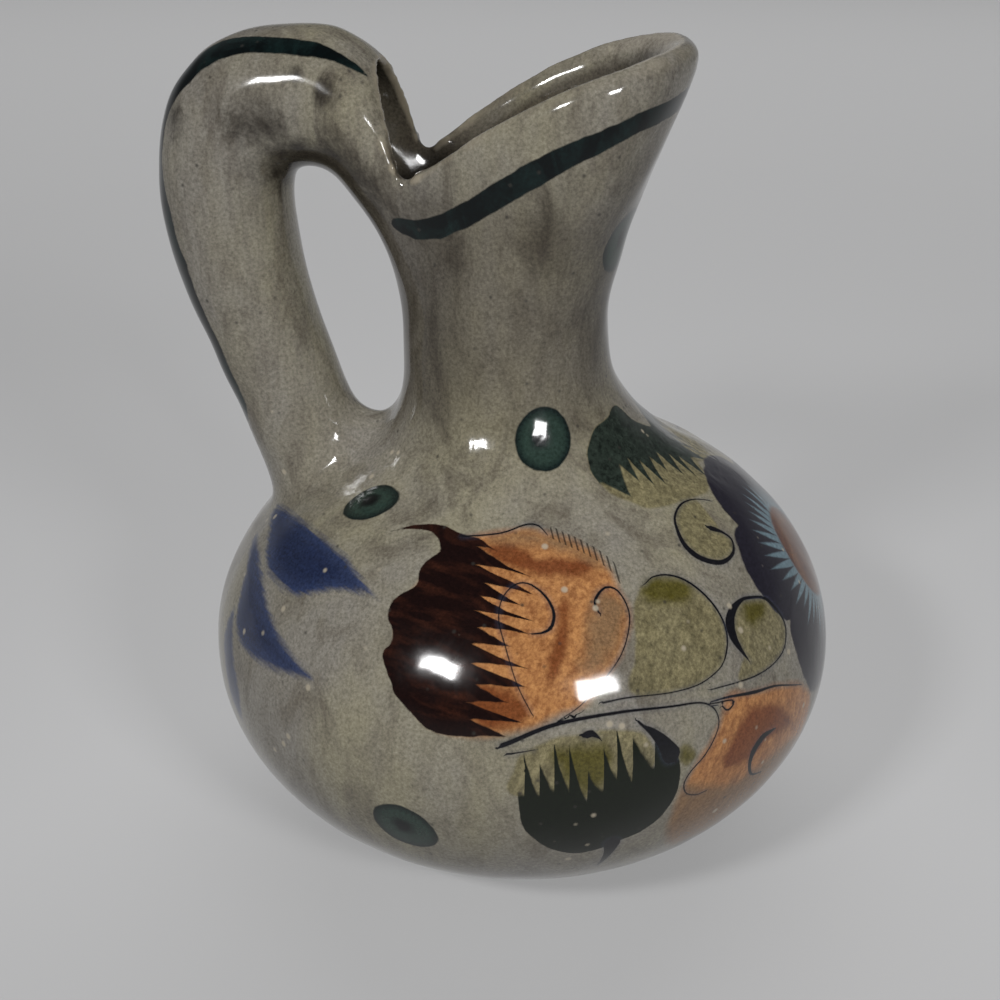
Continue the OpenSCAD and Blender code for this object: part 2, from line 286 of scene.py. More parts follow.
# The handle's stripe: by the turn round the loop's middle, how far off the spine and half its width
LOOP_X, LOOP_Z = -46.0, 150.0
STRIPE = [
    (81, 11.3, 0.0), (86, 11.5, 1.2), (96, 11.2, 1.9), (104, 9.7, 2.3), (112, 7.6, 3.3),
    (121, 7.2, 3.5), (130, 6.8, 3.0), (139, 7.2, 3.0), (148, 9.0, 3.2), (160, 10.0, 3.3),
    (215, 9.0, 3.0), (224, 8.8, 2.5), (231, 8.6, -0.5)]
HANDLE_HALF, STRIPE_FROM = 22, 103
loop_turn = np.degrees(np.arctan2(at_z - LOOP_Z, at_x - LOOP_X)) % 360
stripe_at, stripe_off, stripe_half = np.array(STRIPE).T
off_stripe = -at_y - np.interp(loop_turn, stripe_at, stripe_off)
stripe = np.interp(loop_turn, stripe_at, stripe_half) - np.abs(off_stripe)
outside_loop = (at_x - LOOP_X) * facing[:, 0] + (at_z - LOOP_Z) * facing[:, 2] > 0
on_handle = outside_loop & (at_y > -HANDLE_HALF) & (at_z > STRIPE_FROM)
on_handle &= (loop_turn > stripe_at[0]) & (loop_turn < stripe_at[-1])
green_band = np.where(on_handle, np.maximum(green_band, stripe), green_band)

# Dots: turn, height, half length, half width, tilt
DOTS = [(-73.6, 125.8, 8.2, 7.2, 70), (-137.2, 108.4, 8.2, 5.4, 42), (-104.1, 42.9, 8.8, 7.4, -32)]
# and the one on the front of the neck, which has no twin on the far side
FRONT_DOT = (-20.0, 172.5, 9.6, 8.4, 0)
# A dot's dark core: how far off its middle, and its share of the dot's size
CORE_OFF, CORE_SHARE = (-0.8, 0.4), 0.3
dab, dab_core = (np.full(len(canvas), BARE) for _ in range(2))
for turn, height, *half, tilt in DOTS + [FRONT_DOT]:
    x, y, here = lay_out(turn, height)
    if turn == FRONT_DOT[0]:
        x = np.where(far_side, x - 2 * at_y * math.cos(math.radians(turn)), x)
    core = egg(x, y, CORE_OFF, [CORE_SHARE * h for h in half], tilt)
    dab = np.where(here, np.maximum(dab, egg(x, y, (0, 0), half, tilt)), dab)
    dab_core = np.where(here, np.maximum(dab_core, core), dab_core)
keep("green_band", green_band, dab, dab_core)

# Blue strokes behind the flower, towards the handle. Each is one push of a flat, nearly dry brush:
# broad where it lands, and frayed where it lifts off.
WASH_REACH, CURVE_STEPS = 7.0, 8


def smooth(path, closed):
    """A smooth line through a few points."""
    knots = np.array(path, float)
    knots = (np.vstack([knots[-1:], knots, knots[:2]]) if closed
             else np.vstack([2 * knots[0] - knots[1], knots, 2 * knots[-1] - knots[-2]]))
    step = np.linspace(0, 1, CURVE_STEPS, endpoint=False)[:, None]
    line = [0.5 * (2 * b + (c - a) * step + (2 * a - 5 * b + 4 * c - d) * step**2
                   + (3 * b - a - 3 * c + d) * step**3)
            for a, b, c, d in zip(knots, knots[1:], knots[2:], knots[3:])]
    return np.vstack(line + [knots[-2:-1]])


def near(place, line):
    """Which points of a laid-out place a line can reach, and where they lie."""
    x, y, here = place
    (left, low), (right, high) = line.min(0) - WASH_REACH, line.max(0) + WASH_REACH
    close = np.flatnonzero(here & (x > left) & (x < right) & (y > low) & (y < high))
    return close, x[close], y[close]


def off_step(px, py, start, way):
    """How far along a straight step points lie, and how far off it to the right and up."""
    along = np.clip(((px - start[0]) * way[0] + (py - start[1]) * way[1])
                    / (way[0] * way[0] + way[1] * way[1] + 1e-9), 0, 1)
    return along, px - start[0] - along * way[0], py - start[1] - along * way[1]


def blob(place, outline):
    """Depth inside a brushed patch of that outline."""
    edge = smooth(outline, closed=True)
    close, px, py = near(place, edge)
    nearest, inside = np.full(len(close), np.inf), np.zeros(len(close), bool)
    for (ax, ay), (bx, by) in zip(edge, edge[1:]):
        _, right, up = off_step(px, py, (ax, ay), (bx - ax, by - ay))
        nearest = np.minimum(nearest, np.hypot(right, up))
        crossing = ax + (py - ay) * (bx - ax) / (by - ay or 1.0)
        inside ^= ((ay > py) != (by > py)) & (px < crossing)
    depth = np.full(len(canvas), BARE)
    depth[close] = np.where(inside, nearest, -nearest)
    return depth


# Each stroke: turn and height of its spot, and its outline
STROKES = [
    ((-138.5, 96.3),
     [(-33, 5), (-8.4, 5.4), (9, 4.7), (20.5, 3.6), (28.5, 1.8), (22.3, 0.3), (14.6, -2),
      (8.1, -5.6), (2.9, -8.8), (-4.2, -9.6), (-13, -8.8), (-19.8, -5.3), (-26.3, -0.6)]),
    ((-140.0, 76.9),
     [(-32, 17), (-14.1, 12.2), (-2.6, 7.2), (7, 3.4), (14.8, 2), (23.5, 1.4), (23.4, -0.9),
      (18.8, -1.9), (11.7, -3), (2.3, -4.5), (-6.4, -5.1), (-14.3, -2.2), (-18.1, 3.3),
      (-23.2, 10.9)]),
    ((-149.9, 64.5),
     [(-6, 11), (-6.5, 3.6), (-4.3, -0.4), (-0.9, -6), (3.9, -10.8), (8, -13), (8.5, -5.7),
      (4, 0.4), (0.1, 5), (-3.5, 9.1)])]
blue = np.tile([BARE, 0.0, 0.0], (len(canvas), 1)).T
for spot, outline in STROKES:
    place = x, y, here = lay_out(*spot)
    depth = blob(place, outline)
    wins = here & (depth > blue[0])
    blue[:, wins] = depth[wins], y[wins], x[wins]
keep("blue", *blue)

# Main flower of each side: an orange wash, its left part overlaid in dark brown that ends in a row
# of teeth, with a horn above, and two hooked scrolls and a fringe drawn with a fine brush.
FLOWER_AT = (-86.2, 93.4)
ORANGE_EDGE = [
    (-17, 21), (-22, 14), (-27, 4), (-27, -8), (-22, -19), (-14, -23), (-6.4, -23.9), (0, -23.3),
    (5.9, -21.8), (12.3, -18.5), (18.2, -15.6), (23.5, -7.8), (27.2, -0.3), (28.3, 6), (25.5, 12.3),
    (22.7, 18.2), (18.8, 22.5), (12.5, 25.3), (7.5, 26.6), (1.8, 27.4), (-4.9, 26.3), (-11.6, 25)]
ORANGE_DEEP = [
    [(4.9, 19.4), (12, 19.4), (18.4, 19), (17.8, 15.8), (10, 14.7), (-1.2, 16.7), (-8.1, 21.8),
     (-1.4, 23)],
    [(-9, -13), (0, -14.5), (4, -19), (0, -21.5), (-8, -21.5)],
    [(12, 9), (14, 3), (12, -6), (8, -14), (10, -2)]]
ORANGE_PALE = [
    [(20, 10), (27, 8), (26, 0), (20, -9), (17, -6)],
    [(-6, 24), (4, 26), (14, 24), (22, 18), (12, 22), (2, 24)]]
BROWN_EDGE = [
    (-17.1, 21.8), (-22.7, 17.2), (-23.7, 12.1), (-29, 8.6), (-30.3, 4.4), (-28.7, 1.2),
    (-29, -2.1), (-31.1, -4.4), (-29.9, -8.9), (-28.4, -11.4), (-27.7, -13.9), (-25, -17.3),
    (-22.4, -19.9), (-19.6, -22.2), (-14.1, -23.7), (-6.4, -24), (6, -21.5), (8, 0), (6, 16),
    (-2, 19), (-10, 25)]
HORN = [
    (-17.1, 20.5), (-19.1, 25.2), (-22.1, 27.5), (-26.9, 28.2), (-33, 27.8), (-24.6, 29.2),
    (-18.7, 28.7), (-14.6, 26.6), (-10.5, 24.6), (-12, 21)]
# Where the notches between the brown teeth start
BROWN_NOTCHES = [
    (-9, 17.2), (-7.1, 12.4), (-8, 9), (-9, 5.3), (-7.4, 0.9), (-9.2, -3.0), (-9.3, -7.6),
    (-8.6, -12.4), (-9.8, -16.6), (-8.9, -20.4)]
# How far the teeth lean, by height, and the lowest and highest teeth, by height and count
BROWN_LEAN = [(-20, 0.2), (0, 0.3), (17, 0.5)]
LOWEST, HIGHEST = (-29, -2), (25, 10.5)
place = x, y, here = lay_out(*FLOWER_AT)
orange = blob(place, ORANGE_EDGE)
orange_deep = np.max([blob(place, patch) for patch in ORANGE_DEEP], 0)
orange_pale = np.max([blob(place, patch) for patch in ORANGE_PALE], 0)
notch_x, notch_y = np.array(BROWN_NOTCHES[::-1]).T
past_notch = x - np.interp(y, notch_y, notch_x)
lean = np.interp(y, *np.array(BROWN_LEAN).T)
tooth_y, count = np.vstack([LOWEST, np.c_[notch_y, np.arange(len(notch_y))], HIGHEST]).T
tooth = np.interp(y + lean * np.maximum(past_notch, 0), tooth_y, count)
keep("brown", np.maximum(blob(place, BROWN_EDGE), blob(place, HORN)), tooth, past_notch)

# Brush lines: distance across a line, distance from it, and the line's half width. Lines that run
# closer than the skin's step to each other are kept on two layers.
NO_LINE = [9.0, 9.0, 0.0]
line_layers = [np.tile(NO_LINE, (len(canvas), 1)) for _ in range(2)]


def draw(layer, place, path, half_widths):
    """Draws a brush line through a few points of a place, with half widths spread along it."""
    line = smooth(path, closed=False)
    spread = np.linspace(0, 1, len(half_widths))
    widths = np.interp(np.linspace(0, 1, len(line)), spread, half_widths)
    close, px, py = near(place, line)
    best = np.tile(NO_LINE, (len(close), 1))
    for start, end, wa, wb in zip(line, line[1:], widths, widths[1:]):
        way = end - start
        along, right, up = off_step(px, py, start, way)
        away = np.hypot(right, up)
        across = np.where(way[0] * up < way[1] * right, -away, away)
        nearer = away < best[:, 1]
        best[nearer] = np.stack([across, away, wa + (wb - wa) * along], 1)[nearer]
    stored = line_layers[layer]
    wins = best[:, 1] - best[:, 2] < stored[close, 1] - stored[close, 2]
    stored[close[wins]] = best[wins]


LEFT_SCROLL = [
    (5.2, -18.9), (1.6, -12.4), (-1.6, -3.1), (-3.2, 3), (-2.5, 8.4), (0.4, 12), (3.4, 12.4),
    (6.5, 10.5), (8.8, 7.7), (9.9, 4.5), (9.2, 1.3), (7.2, 0), (4.8, -0.4)]
RIGHT_SCROLL = [
    (11.6, -20), (17, -16), (23.8, -7.7), (26.8, -1.9), (28, 4.9), (27, 9.1), (24.7, 12.2),
    (22.1, 12.5), (20.1, 10.1), (19.6, 7.9), (20.6, 5.8)]
TOP_LINE = [(-13, 25.2), (-3.7, 26.1), (2.4, 28.6), (5.5, 28.4), (7.6, 26.2)]
draw(0, place, LEFT_SCROLL, (0.12, 0.15, 0.16, 0.22, 0.34, 0.44, 0.15))
draw(0, place, RIGHT_SCROLL, (0.1, 0.14, 0.16, 0.2, 0.28, 0.38, 0.22))
draw(1, place, TOP_LINE, (0.25, 0.22, 0.25, 0.12))
# The fringe of short hairs past the top line: depth across the fringe and a count of hairs along it
FRINGE = [(8, 27.2), (11.4, 25.4), (15.4, 23.9), (19.9, 21.5), (23.8, 18.4), (26.3, 14.6)]
FRINGE_HALF, HAIR_PITCH, HAIR_SLANT, HAIR_HALF = 1.7, 1.35, 0.25, 0.22
fringe_x, fringe_y = np.array(FRINGE).T
fringe = FRINGE_HALF - np.abs(y - np.interp(x, fringe_x, fringe_y))
fringe = np.where(here & (x > fringe_x[0]) & (x < fringe_x[-1]), fringe, BARE)
keep("fringe", fringe, (x + HAIR_SLANT * y) / HAIR_PITCH)

# Leaves and stems: washes of olive and orange inside fine dark outlines, two leaves combed with
# dark green teeth, and a double stem that ties them to the flower.
olive, pooled = (np.full(len(canvas), BARE) for _ in range(2))


def wash(paint, place, *outlines):
    """Lays brushed patches of those outlines on a place in a paint."""
    for outline in outlines:
        np.maximum(paint, blob(place, outline), out=paint)


LEAF_AT = (-51.3, 87.6)
LEAF = [
    (-10, 12), (-5.1, 15.8), (-2, 17), (2.3, 16.4), (6.1, 14), (9.2, 10), (11.4, 5), (12, 0.1),
    (10.8, -4.3), (7.9, -8.2), (4.1, -10.1), (-1.7, -11.2), (-9.7, -10.6), (-16.9, -9.1),
    (-19, -5.5), (-15, 0), (-12.5, 7)]
place = lay_out(*LEAF_AT)
wash(olive, place, LEAF)
wash(pooled, place, [(-6.4, 13), (-3.2, 16.4), (2.1, 16), (7, 12.6), (5, 9), (-1, 9.6)])
draw(0, place, LEAF[1:13] + [(-20, -8.4), (-26, -7.6)],
     (0.12, 0.24, 0.32, 0.32, 0.28, 0.18, 0.16, 0.14, 0.25))

SMALL_LEAF_AT = (-35.7, 82.7)
SMALL_LEAF = [
    (2.1, 8.9), (8.9, 6.7), (11.7, 3.1), (13.1, -1.6), (11.6, -5), (8.5, -7.7), (3.3, -9.1),
    (-3.5, -9.2), (-10.7, -8.1), (-9, -5), (-6.5, -3), (-7.6, 1.7), (-6.7, 6), (-3.2, 8.4)]
place = lay_out(*SMALL_LEAF_AT)
wash(olive, place, SMALL_LEAF)
wash(pooled, place, [(-1, 4.4), (2.1, 7.6), (6.7, 7.2), (8.7, 4.7), (5.4, 2.4), (1.3, 2)])
draw(0, place, SMALL_LEAF[:9] + [(-20, -6)], (0.2, 0.5, 0.35, 0.25, 0.2, 0.2, 0.15))
draw(1, place, [(8.5, 7.2), (2.2, 9), (-3.3, 8.1), (-6.4, 5.7), (-7.5, 2.1), (-6.9, -1.4),
                (-5.6, -5.2)], (0.2, 0.4, 1.1, 1.5, 1.2, 0.6, 0.1))

SPIRAL_AT = (-31.0, 102.8)
SPIRAL = [
    (12, 5.4), (7, 8.1), (1.3, 8.9), (-4.5, 7), (-7.7, 3.3), (-9.3, -1), (-8.1, -5.6), (-3.4, -9.3),
    (2.6, -9.2), (6, -6.3), (5.3, -3.3), (2.8, -0.6)]
place = lay_out(*SPIRAL_AT)
wash(olive, place, SPIRAL[1:11])
draw(0, place, SPIRAL, (0.15, 0.2, 0.3, 0.35, 0.6, 0.9, 0.8, 0.5, 0.3, 0.4, 0.9))

LOW_LEAF_AT = (-72.0, 57.3)
LOW_LEAF = [
    (-17.8, 12), (-18.9, 2.1), (-18.6, -4.2), (-17.2, -9.2), (-13.8, -14), (-9.2, -17.9),
    (-3.7, -19.9), (1.7, -19.1), (6.9, -16.9), (12.4, -14.8), (17.6, -10.1), (20.5, -3.9),
    (21.3, 2.2), (20.6, 5.9), (18.4, 10.4), (15.6, 12.9), (12, 15.5), (0, 15.5), (-10, 14)]
# Tips of its teeth, and the notches right of them
LOW_TIPS = [-17.5, -14.1, -10.6, -7.1, -2.7, 1.3, 4.6, 8.4, 14.2, 19.5]
LOW_NOTCHES = [
    (-18, 1), (-14.5, 1.2), (-10.9, 2.6), (-7.4, 2.6), (-2.9, -1.3), (1.2, 1.2), (4.5, 4.8),
    (8.3, 2.7), (14.1, 6), (22, 8)]
LOW_OLIVE = [
    [(-21, 2), (-20, 8), (-17.6, 12.4), (-9.9, 15.4), (-2.1, 16.2), (5.8, 15.8), (12, 13.5),
     (14, 5), (0, 0), (-12, 0)],
    [(20, 8), (23, 8.8), (25.4, 5.3), (22.4, 3)]]
LOW_POOLED = [
    [(-10.6, 12), (-3.9, 13.5), (3, 11.5), (2, 5), (-3, 1), (-8.6, 6)],
    [(20.6, 7.7), (22.7, 8.2), (24.8, 5.3), (22.4, 3.4)]]
STEM = [
    (-22.7, 13.7), (-9.7, 18.5), (6.1, 19.7), (20, 18.5), (27.1, 17.5), (30.7, 15.3), (32.1, 11.8),
    (31, 8.4), (27.9, 4.3), (24.3, 1.3), (22.4, -1.9), (23.3, -5.2), (26.3, -6.9), (28.9, -6.8)]
place = x, y, _ = lay_out(*LOW_LEAF_AT)
notch_x, notch_y = np.array(LOW_NOTCHES).T
keep("low_leaf", blob(place, LOW_LEAF), np.interp(x, LOW_TIPS, np.arange(len(LOW_TIPS))),
     y - np.interp(x, notch_x, notch_y))
wash(olive, place, *LOW_OLIVE)
wash(pooled, place, *LOW_POOLED)
draw(0, place, [(5.0, -17.5), (4.6, -22), (3.2, -29)], (2.2, 1.2, 0.15))
draw(0, place, [(18.6, 7.5), (16.5, 11), (13.8, 14), (11.8, 15.6), (10.3, 17.1)],
     (2.4, 1.6, 0.9, 0.35, 0.3))
draw(0, place, STEM, (0.55, 0.42, 0.28, 0.22, 0.18, 0.17, 0.2, 0.22, 0.18, 0.16, 0.16))
draw(1, place, [(-21.2, 11.8), (-18.6, 12.3), (-15, 12.9)], (0.25, 0.15, 0.1))
draw(1, place, [(-2.6, 15.7), (-1.1, 15.8), (0.6, 14.6)], (0.9, 0.8, 0.2))
draw(1, place, [(30.2, 16.4), (35.9, 15.4), (36.8, 14.3), (34.8, 13.4), (33.2, 15)],
     (0.15, 0.2, 0.25, 0.2))

HIGH_LEAF_AT = (-30.1, 116.5)
HIGH_LEAF = [
    (5, 15.6), (-1.1, 13.8), (-7.4, 12.9), (-11.6, 10.1), (-14.3, 6.4), (-15.4, 1.2), (-14.3, -3.8),
    (-11.6, -7.9), (-9.2, -11.3), (-4.7, -13.6), (2.6, -14.9), (12, -16.3), (16.6, -15.3),
    (23.4, -9), (25, -1), (19, 5.5), (10.3, 9.9)]
HIGH_NOTCHES = [
    (-14.4, 0), (-6.4, 1.8), (-2.8, 1.6), (0.4, 0.1), (5.1, -0.5), (9.8, -0.4), (14.6, -2.2),
    (17.7, -4), (23.2, -5.6), (30, -7)]
place = x, y, _ = lay_out(*HIGH_LEAF_AT)
notch_x, notch_y = np.array(HIGH_NOTCHES).T
wash(olive, place, HIGH_LEAF)
keep("high_leaf", blob(place, HIGH_LEAF), np.interp(x, notch_x, np.arange(len(notch_x))),
     np.interp(x, notch_x, notch_y) - y)

ORANGE_LEAF_AT = (-44.8, 59.8)
ORANGE_LEAF = [
    (-2.4, 14), (6.5, 11.7), (15.6, 9.8), (27.3, 4.8), (34, -3), (33, -13), (24, -22), (10, -28),
    (-1.3, -30), (-12, -30), (-18.5, -20), (-18.7, -10), (-15.3, -1.4), (-7, 7.6)]
place = lay_out(*ORANGE_LEAF_AT)
wash(orange, place, ORANGE_LEAF)
wash(orange_deep, place, [(4, 8), (16, 4), (22, -4), (12, -3), (0, -6), (-6, -2)])
wash(orange_pale, place,
     [(-18, -6), (-8, -9), (0, -11), (22, -10), (30, -18), (0, -33), (-19, -28)])
draw(0, place, [(-8, 14.2), (-2.4, 13.6), (6.5, 11.7), (15.6, 9.8), (27.3, 4.8)],
     (0.15, 0.3, 0.45, 0.25, 0.15))
draw(1, place, [(13.2, -1.2), (8.6, -1.4), (5.2, -4), (4.4, -8), (6.4, -12), (10.5, -13.6)],
     (0.3, 1.0, 1.1, 0.6, 0.35, 0.15))
keep("orange", orange, orange_deep, orange_pale)
keep("olive", olive, pooled)
for number, layer in enumerate(line_layers):
    keep(f"brush_lines_{number}", *layer.T)

# Flower under the pouring lip: six blue-black petals round a brown eye, combed from the eye
# outwards with pale blue feathers.
LIP_FLOWER_AT = (0.0, 82.0)
# Degrees from the top where one petal ends and the next starts; petals are round by this power
PETAL_NOTCHES, PETAL_ROUND = [-221, -139, -87, -36, 36], 0.5
FEATHERS = 44
NOTCH_R, PETAL_R, EYE_R, EYE_RISE = 31.5, 37.5, 13.3, 3.5
x, y, here = lay_out(*LIP_FLOWER_AT)
from_top, from_eye = -np.abs(np.arctan2(x, y)), np.hypot(x, y)
in_petal = np.interp(np.degrees(from_top), PETAL_NOTCHES, np.arange(len(PETAL_NOTCHES)))
petal_r = NOTCH_R + (PETAL_R - NOTCH_R) * np.abs(np.sin(math.pi * in_petal)) ** PETAL_ROUND
keep("petals", np.where(here, petal_r - from_eye, BARE), from_top * FEATHERS / (2 * math.pi),
     from_eye - EYE_R - EYE_RISE * np.cos(from_top))

# Glaze. Lead glaze over grey slip, smoked in the kiln: olive-grey and mauve clouds, dark smudged
# patches that also hold painted shade, fine grain, iron specks and burst bubbles. Painted shade
# darkens the neck, the mouth and the handle's tube, and painted light makes the inside of the
# lip pale. It wets every painted mark under one deep, wavy gloss, runs thin and tan on the edges,
# and stops short of the underside, which is bare matt clay.

# Each smudged patch, partly smoky glaze and partly painted shade in the handle's inner bend and
# on the neck's sides: its middle along X and its height, half length and half width, tilt
HANDLE_SMUDGES_AND_SHADE = [
    ((-63, 199.6), (7, 4.5), -10), ((-56, 192), (7, 4.5), 12), ((-47, 190.5), (9, 4.5), -30),
    ((-53.4, 212), (2.5, 1.8), 0), ((-47, 208), (2.0, 2.6), 0), ((-85.5, 200), (2.2, 5), 0),
    ((-61, 187), (3.5, 4), 0), ((-41, 187), (4.5, 9), 35)]
NECK_SMUDGES_AND_SHADE = [
    ((-15, 168), (4, 14), 0), ((9, 180), (6, 12), -10), ((-34, 170), (5, 18), 25),
    ((-48, 140), (6, 16), 20), ((-20, 155), (11, 34), 6), ((24, 160), (5, 24), -8),
    ((2, 128), (5, 5), 0)]
NO_SMUDGE_NOR_SHADE, FACES_BACK = -1, 0.2
smudges_and_shade = [np.max([egg(at_x, at_z, *one) / min(one[1]) for one in group], 0)
           for group in (HANDLE_SMUDGES_AND_SHADE, NECK_SMUDGES_AND_SHADE)]
for smudge_and_painted_light in smudges_and_shade:
    smudge_and_painted_light[facing[:, 1] > FACES_BACK] = NO_SMUDGE_NOR_SHADE
# Painted shade darkens the mouth towards the handle and in the handle's tube, and painted light
# makes it pale just inside the lip
MOUTH_FROM, MOUTH_BACK, TUBE_FROM, TUBE_BACK, TUBE_SIDE = 150, -32, 168, -80, 0.7
MOUTH_SHADE_AND_LIGHT, TUBE_SHADE = 0.8, 0.75
in_mouth = ~faces_out & (at_z > MOUTH_FROM) & (at_x > MOUTH_BACK)
tube_in_shade = (at_z > TUBE_FROM) & (at_x > TUBE_BACK) & (at_x < MOUTH_BACK)
tube_in_shade = tube_in_shade * np.clip(facing[:, 1] / TUBE_SIDE, 0, 1)
# The rim rises from the saddles to the lip: along X, its height
RIM = [(-38, 179.4), (-26, 189), (-14, 197), (-2, 204.8), (10, 211), (22, 215.5), (40, 219.1)]
# The painted pale edge below the rim, how far it fades, and where along X and how far the painted
# shade sets in
PALE_EDGE, PALE_FADE, DARK_FROM, DARK_FADE = 1, 5, 8, 36
below_rim = np.interp(at_x, *np.array(RIM).T) - at_z
past_edge = np.clip((below_rim - PALE_EDGE) / PALE_FADE, 0, 1)
past_edge = 2 * MOUTH_SHADE_AND_LIGHT * past_edge - MOUTH_SHADE_AND_LIGHT
depth_in = np.maximum((DARK_FROM - at_x) / DARK_FADE, past_edge)
mouth_painted_shade_light = np.where(in_mouth, np.clip(depth_in, -MOUTH_SHADE_AND_LIGHT, MOUTH_SHADE_AND_LIGHT), TUBE_SHADE * tube_in_shade)
keep("smudge_and_painted_light", *smudges_and_shade, mouth_painted_shade_light)

glazed = bpy.data.materials.new("lead_glazed_painted_earthenware")
glazed.use_nodes = True
tree = glazed.node_tree
tree.nodes.clear()
IN_COLOUR, EASED = {"data_type": "RGBA"}, {"interpolation_type": "SMOOTHSTEP"}
TIMES, PLUS, MINUS, OVER, TIMES_PLUS, LEAST, MOST, SIZE = ({"operation": name} for name in (
    "MULTIPLY", "ADD", "SUBTRACT", "DIVIDE", "MULTIPLY_ADD", "MINIMUM", "MAXIMUM", "ABSOLUTE"))


def colour(code):
    """An sRGB hex colour as linear values."""
    shares = [int(code[at:at + 2], 16) / 255 for at in (1, 3, 5)]
    return [s / 12.92 if s <= 0.04045 else ((s + 0.055) / 1.055) ** 2.4 for s in shares] + [1.0]


def add(kind, settings, inputs):
    """Adds a node to the tree in hand. An input takes a value, a hex colour, an output, or a node
    for its first output."""
    node = tree.nodes.new("ShaderNode" + kind)
    for name, value in settings.items():
        setattr(node, name, value)
    for name, value in inputs.items():
        fits = [socket for socket in node.inputs if socket.enabled and socket.name == name]
        socket = fits[0] if fits else node.inputs[name]
        if isinstance(value, bpy.types.Node):
            value = next(out for out in value.outputs if out.enabled)
        if isinstance(value, bpy.types.NodeSocket):
            tree.links.new(value, socket)
        else:
            socket.default_value = colour(value) if isinstance(value, str) else value
    return node


def field(name):
    """The three stored values of a painted field."""
    stored = add("Attribute", {"attribute_name": name}, {})
    return add("SeparateXYZ", {}, {"Vector": stored.outputs["Vector"]}).outputs


def brushed(below, paint, depth, soft, strength=1.0, shake=0.0):
    """A paint over what is below it, up to an edge that is soft for so many millimetres. Shake is
    how far an unsteady hand lets that edge wander."""
    if shake:
        depth = add("Math", TIMES_PLUS, {0: unsteady, 1: 2 * shake, 2: depth})
    cover = add("MapRange", EASED, {"Value": depth, "From Min": -soft / 2, "From Max": soft / 2,
                                    "To Max": strength})
    return add("Mix", IN_COLOUR, {"Factor": cover, "A": below, "B": paint})


spot = add("TexCoord", {}, {}).outputs["Object"]
# Clouds of 40 mm, drawn out along the height as the slip was brushed, patches of 11 mm, and a grain
# of about 0.4 mm that is drawn at 0.8 mm so that it shows
CLOUD, PATCH, GRAIN, HAND = 40 * MM, 11 * MM, 0.8 * MM, 5 * MM
brushed_down = add("Mapping", {}, {"Vector": spot, "Scale": (1, 1, 0.45)})
cloud = add("TexNoise", {}, {"Vector": brushed_down, "Scale": 1 / CLOUD, "Detail": 4.0,
                             "Roughness": 0.6})
patch = add("TexNoise", {}, {"Vector": brushed_down, "Scale": 1 / PATCH, "Detail": 6.0,
                             "Roughness": 0.66, "Distortion": 0.7})
grain = add("TexNoise", {}, {"Vector": spot, "Scale": 1 / GRAIN, "Detail": 2.0, "Roughness": 0.7})
unsteady = add("TexNoise", {}, {"Vector": spot, "Scale": 1 / HAND, "Detail": 2.0})
unsteady = add("Math", MINUS, {0: unsteady, 1: 0.5})
cloudy = add("MapRange", {}, {"Value": cloud, "From Min": 0.38, "From Max": 0.62})
patchy = add("MapRange", {}, {"Value": patch, "From Min": 0.46, "From Max": 0.70, "To Max": 0.95})
ground = add("Mix", IN_COLOUR, {"Factor": cloudy, "A": "#7a7563", "B": "#747068"})
ground = add("Mix", IN_COLOUR, {"Factor": patchy, "A": ground, "B": "#595349"})

# The neck's slip shows streaks of the brush at the sides, and painted shade darkens the neck up to
# the band
SLIP_STREAK = 1.6 * MM
NECK_FROM, NECK_FULL, BAND_LOW, BAND_HIGH = 112 * MM, 140 * MM, 176 * MM, 196 * MM
NECK_MIDDLE, SIDES_FROM, SIDES_FULL = -3 * MM, 8 * MM, 20 * MM
HANDLE_FRONT, NECK_BACK = -52 * MM, -36 * MM
drawn_out = add("Mapping", {}, {"Vector": spot, "Scale": (1, 1, 0.12)})
slip_streaks = add("TexNoise", {}, {"Vector": drawn_out, "Scale": 1 / SLIP_STREAK, "Detail": 2.0})
slip_streaks = add("MapRange", {}, {"Value": slip_streaks, "From Min": 0.46, "From Max": 0.75,
                                    "To Max": 0.45})
along_x, _, height = add("SeparateXYZ", {}, {"Vector": spot}).outputs
up_neck = add("MapRange", EASED, {"Value": height, "From Min": NECK_FROM, "From Max": NECK_FULL})
off_middle = add("Math", MINUS, {0: along_x, 1: NECK_MIDDLE})
off_middle = add("Math", SIZE, {0: off_middle})
to_sides = add("MapRange", {}, {"Value": off_middle, "From Min": SIDES_FROM,
                                "From Max": SIDES_FULL, "To Min": 0.1})
brush_marks = add("Math", TIMES, {0: slip_streaks, 1: up_neck})
brush_marks = add("Math", TIMES, {0: brush_marks, 1: to_sides})
ground = add("Mix", IN_COLOUR, {"Factor": brush_marks, "A": ground, "B": "#57514a"})
# Painted shade: the neck is darkened up to the band, fading out towards the handle
down_neck = add("MapRange", EASED, {"Value": height, "From Min": BAND_HIGH, "From Max": BAND_LOW})
neck_painted_shade = add("Math", TIMES, {0: up_neck, 1: down_neck})
from_loop = add("MapRange", EASED, {"Value": along_x, "From Min": HANDLE_FRONT,
                                    "From Max": NECK_BACK, "To Max": 0.7})
neck_painted_shade = add("Math", TIMES, {0: neck_painted_shade, 1: from_loop})
ground = add("Mix", {"data_type": "RGBA", "blend_type": "MULTIPLY"},
             {"Factor": neck_painted_shade, "A": ground, "B": "#b6b2af"})

# Painted shade in the mouth and the handle's tube, and painted light just inside the lip
handle_smudge_and_shade, neck_smudge_and_shade, inner = field("smudge_and_painted_light")
ground = add("Mix", IN_COLOUR, {"Factor": inner, "A": ground, "B": "#3c362e"})
mouth_painted_light = add("Math", {"operation": "MULTIPLY", "use_clamp": True}, {0: inner, 1: -1.0})
ground = add("Mix", IN_COLOUR, {"Factor": mouth_painted_light, "A": ground, "B": "#a0998c"})
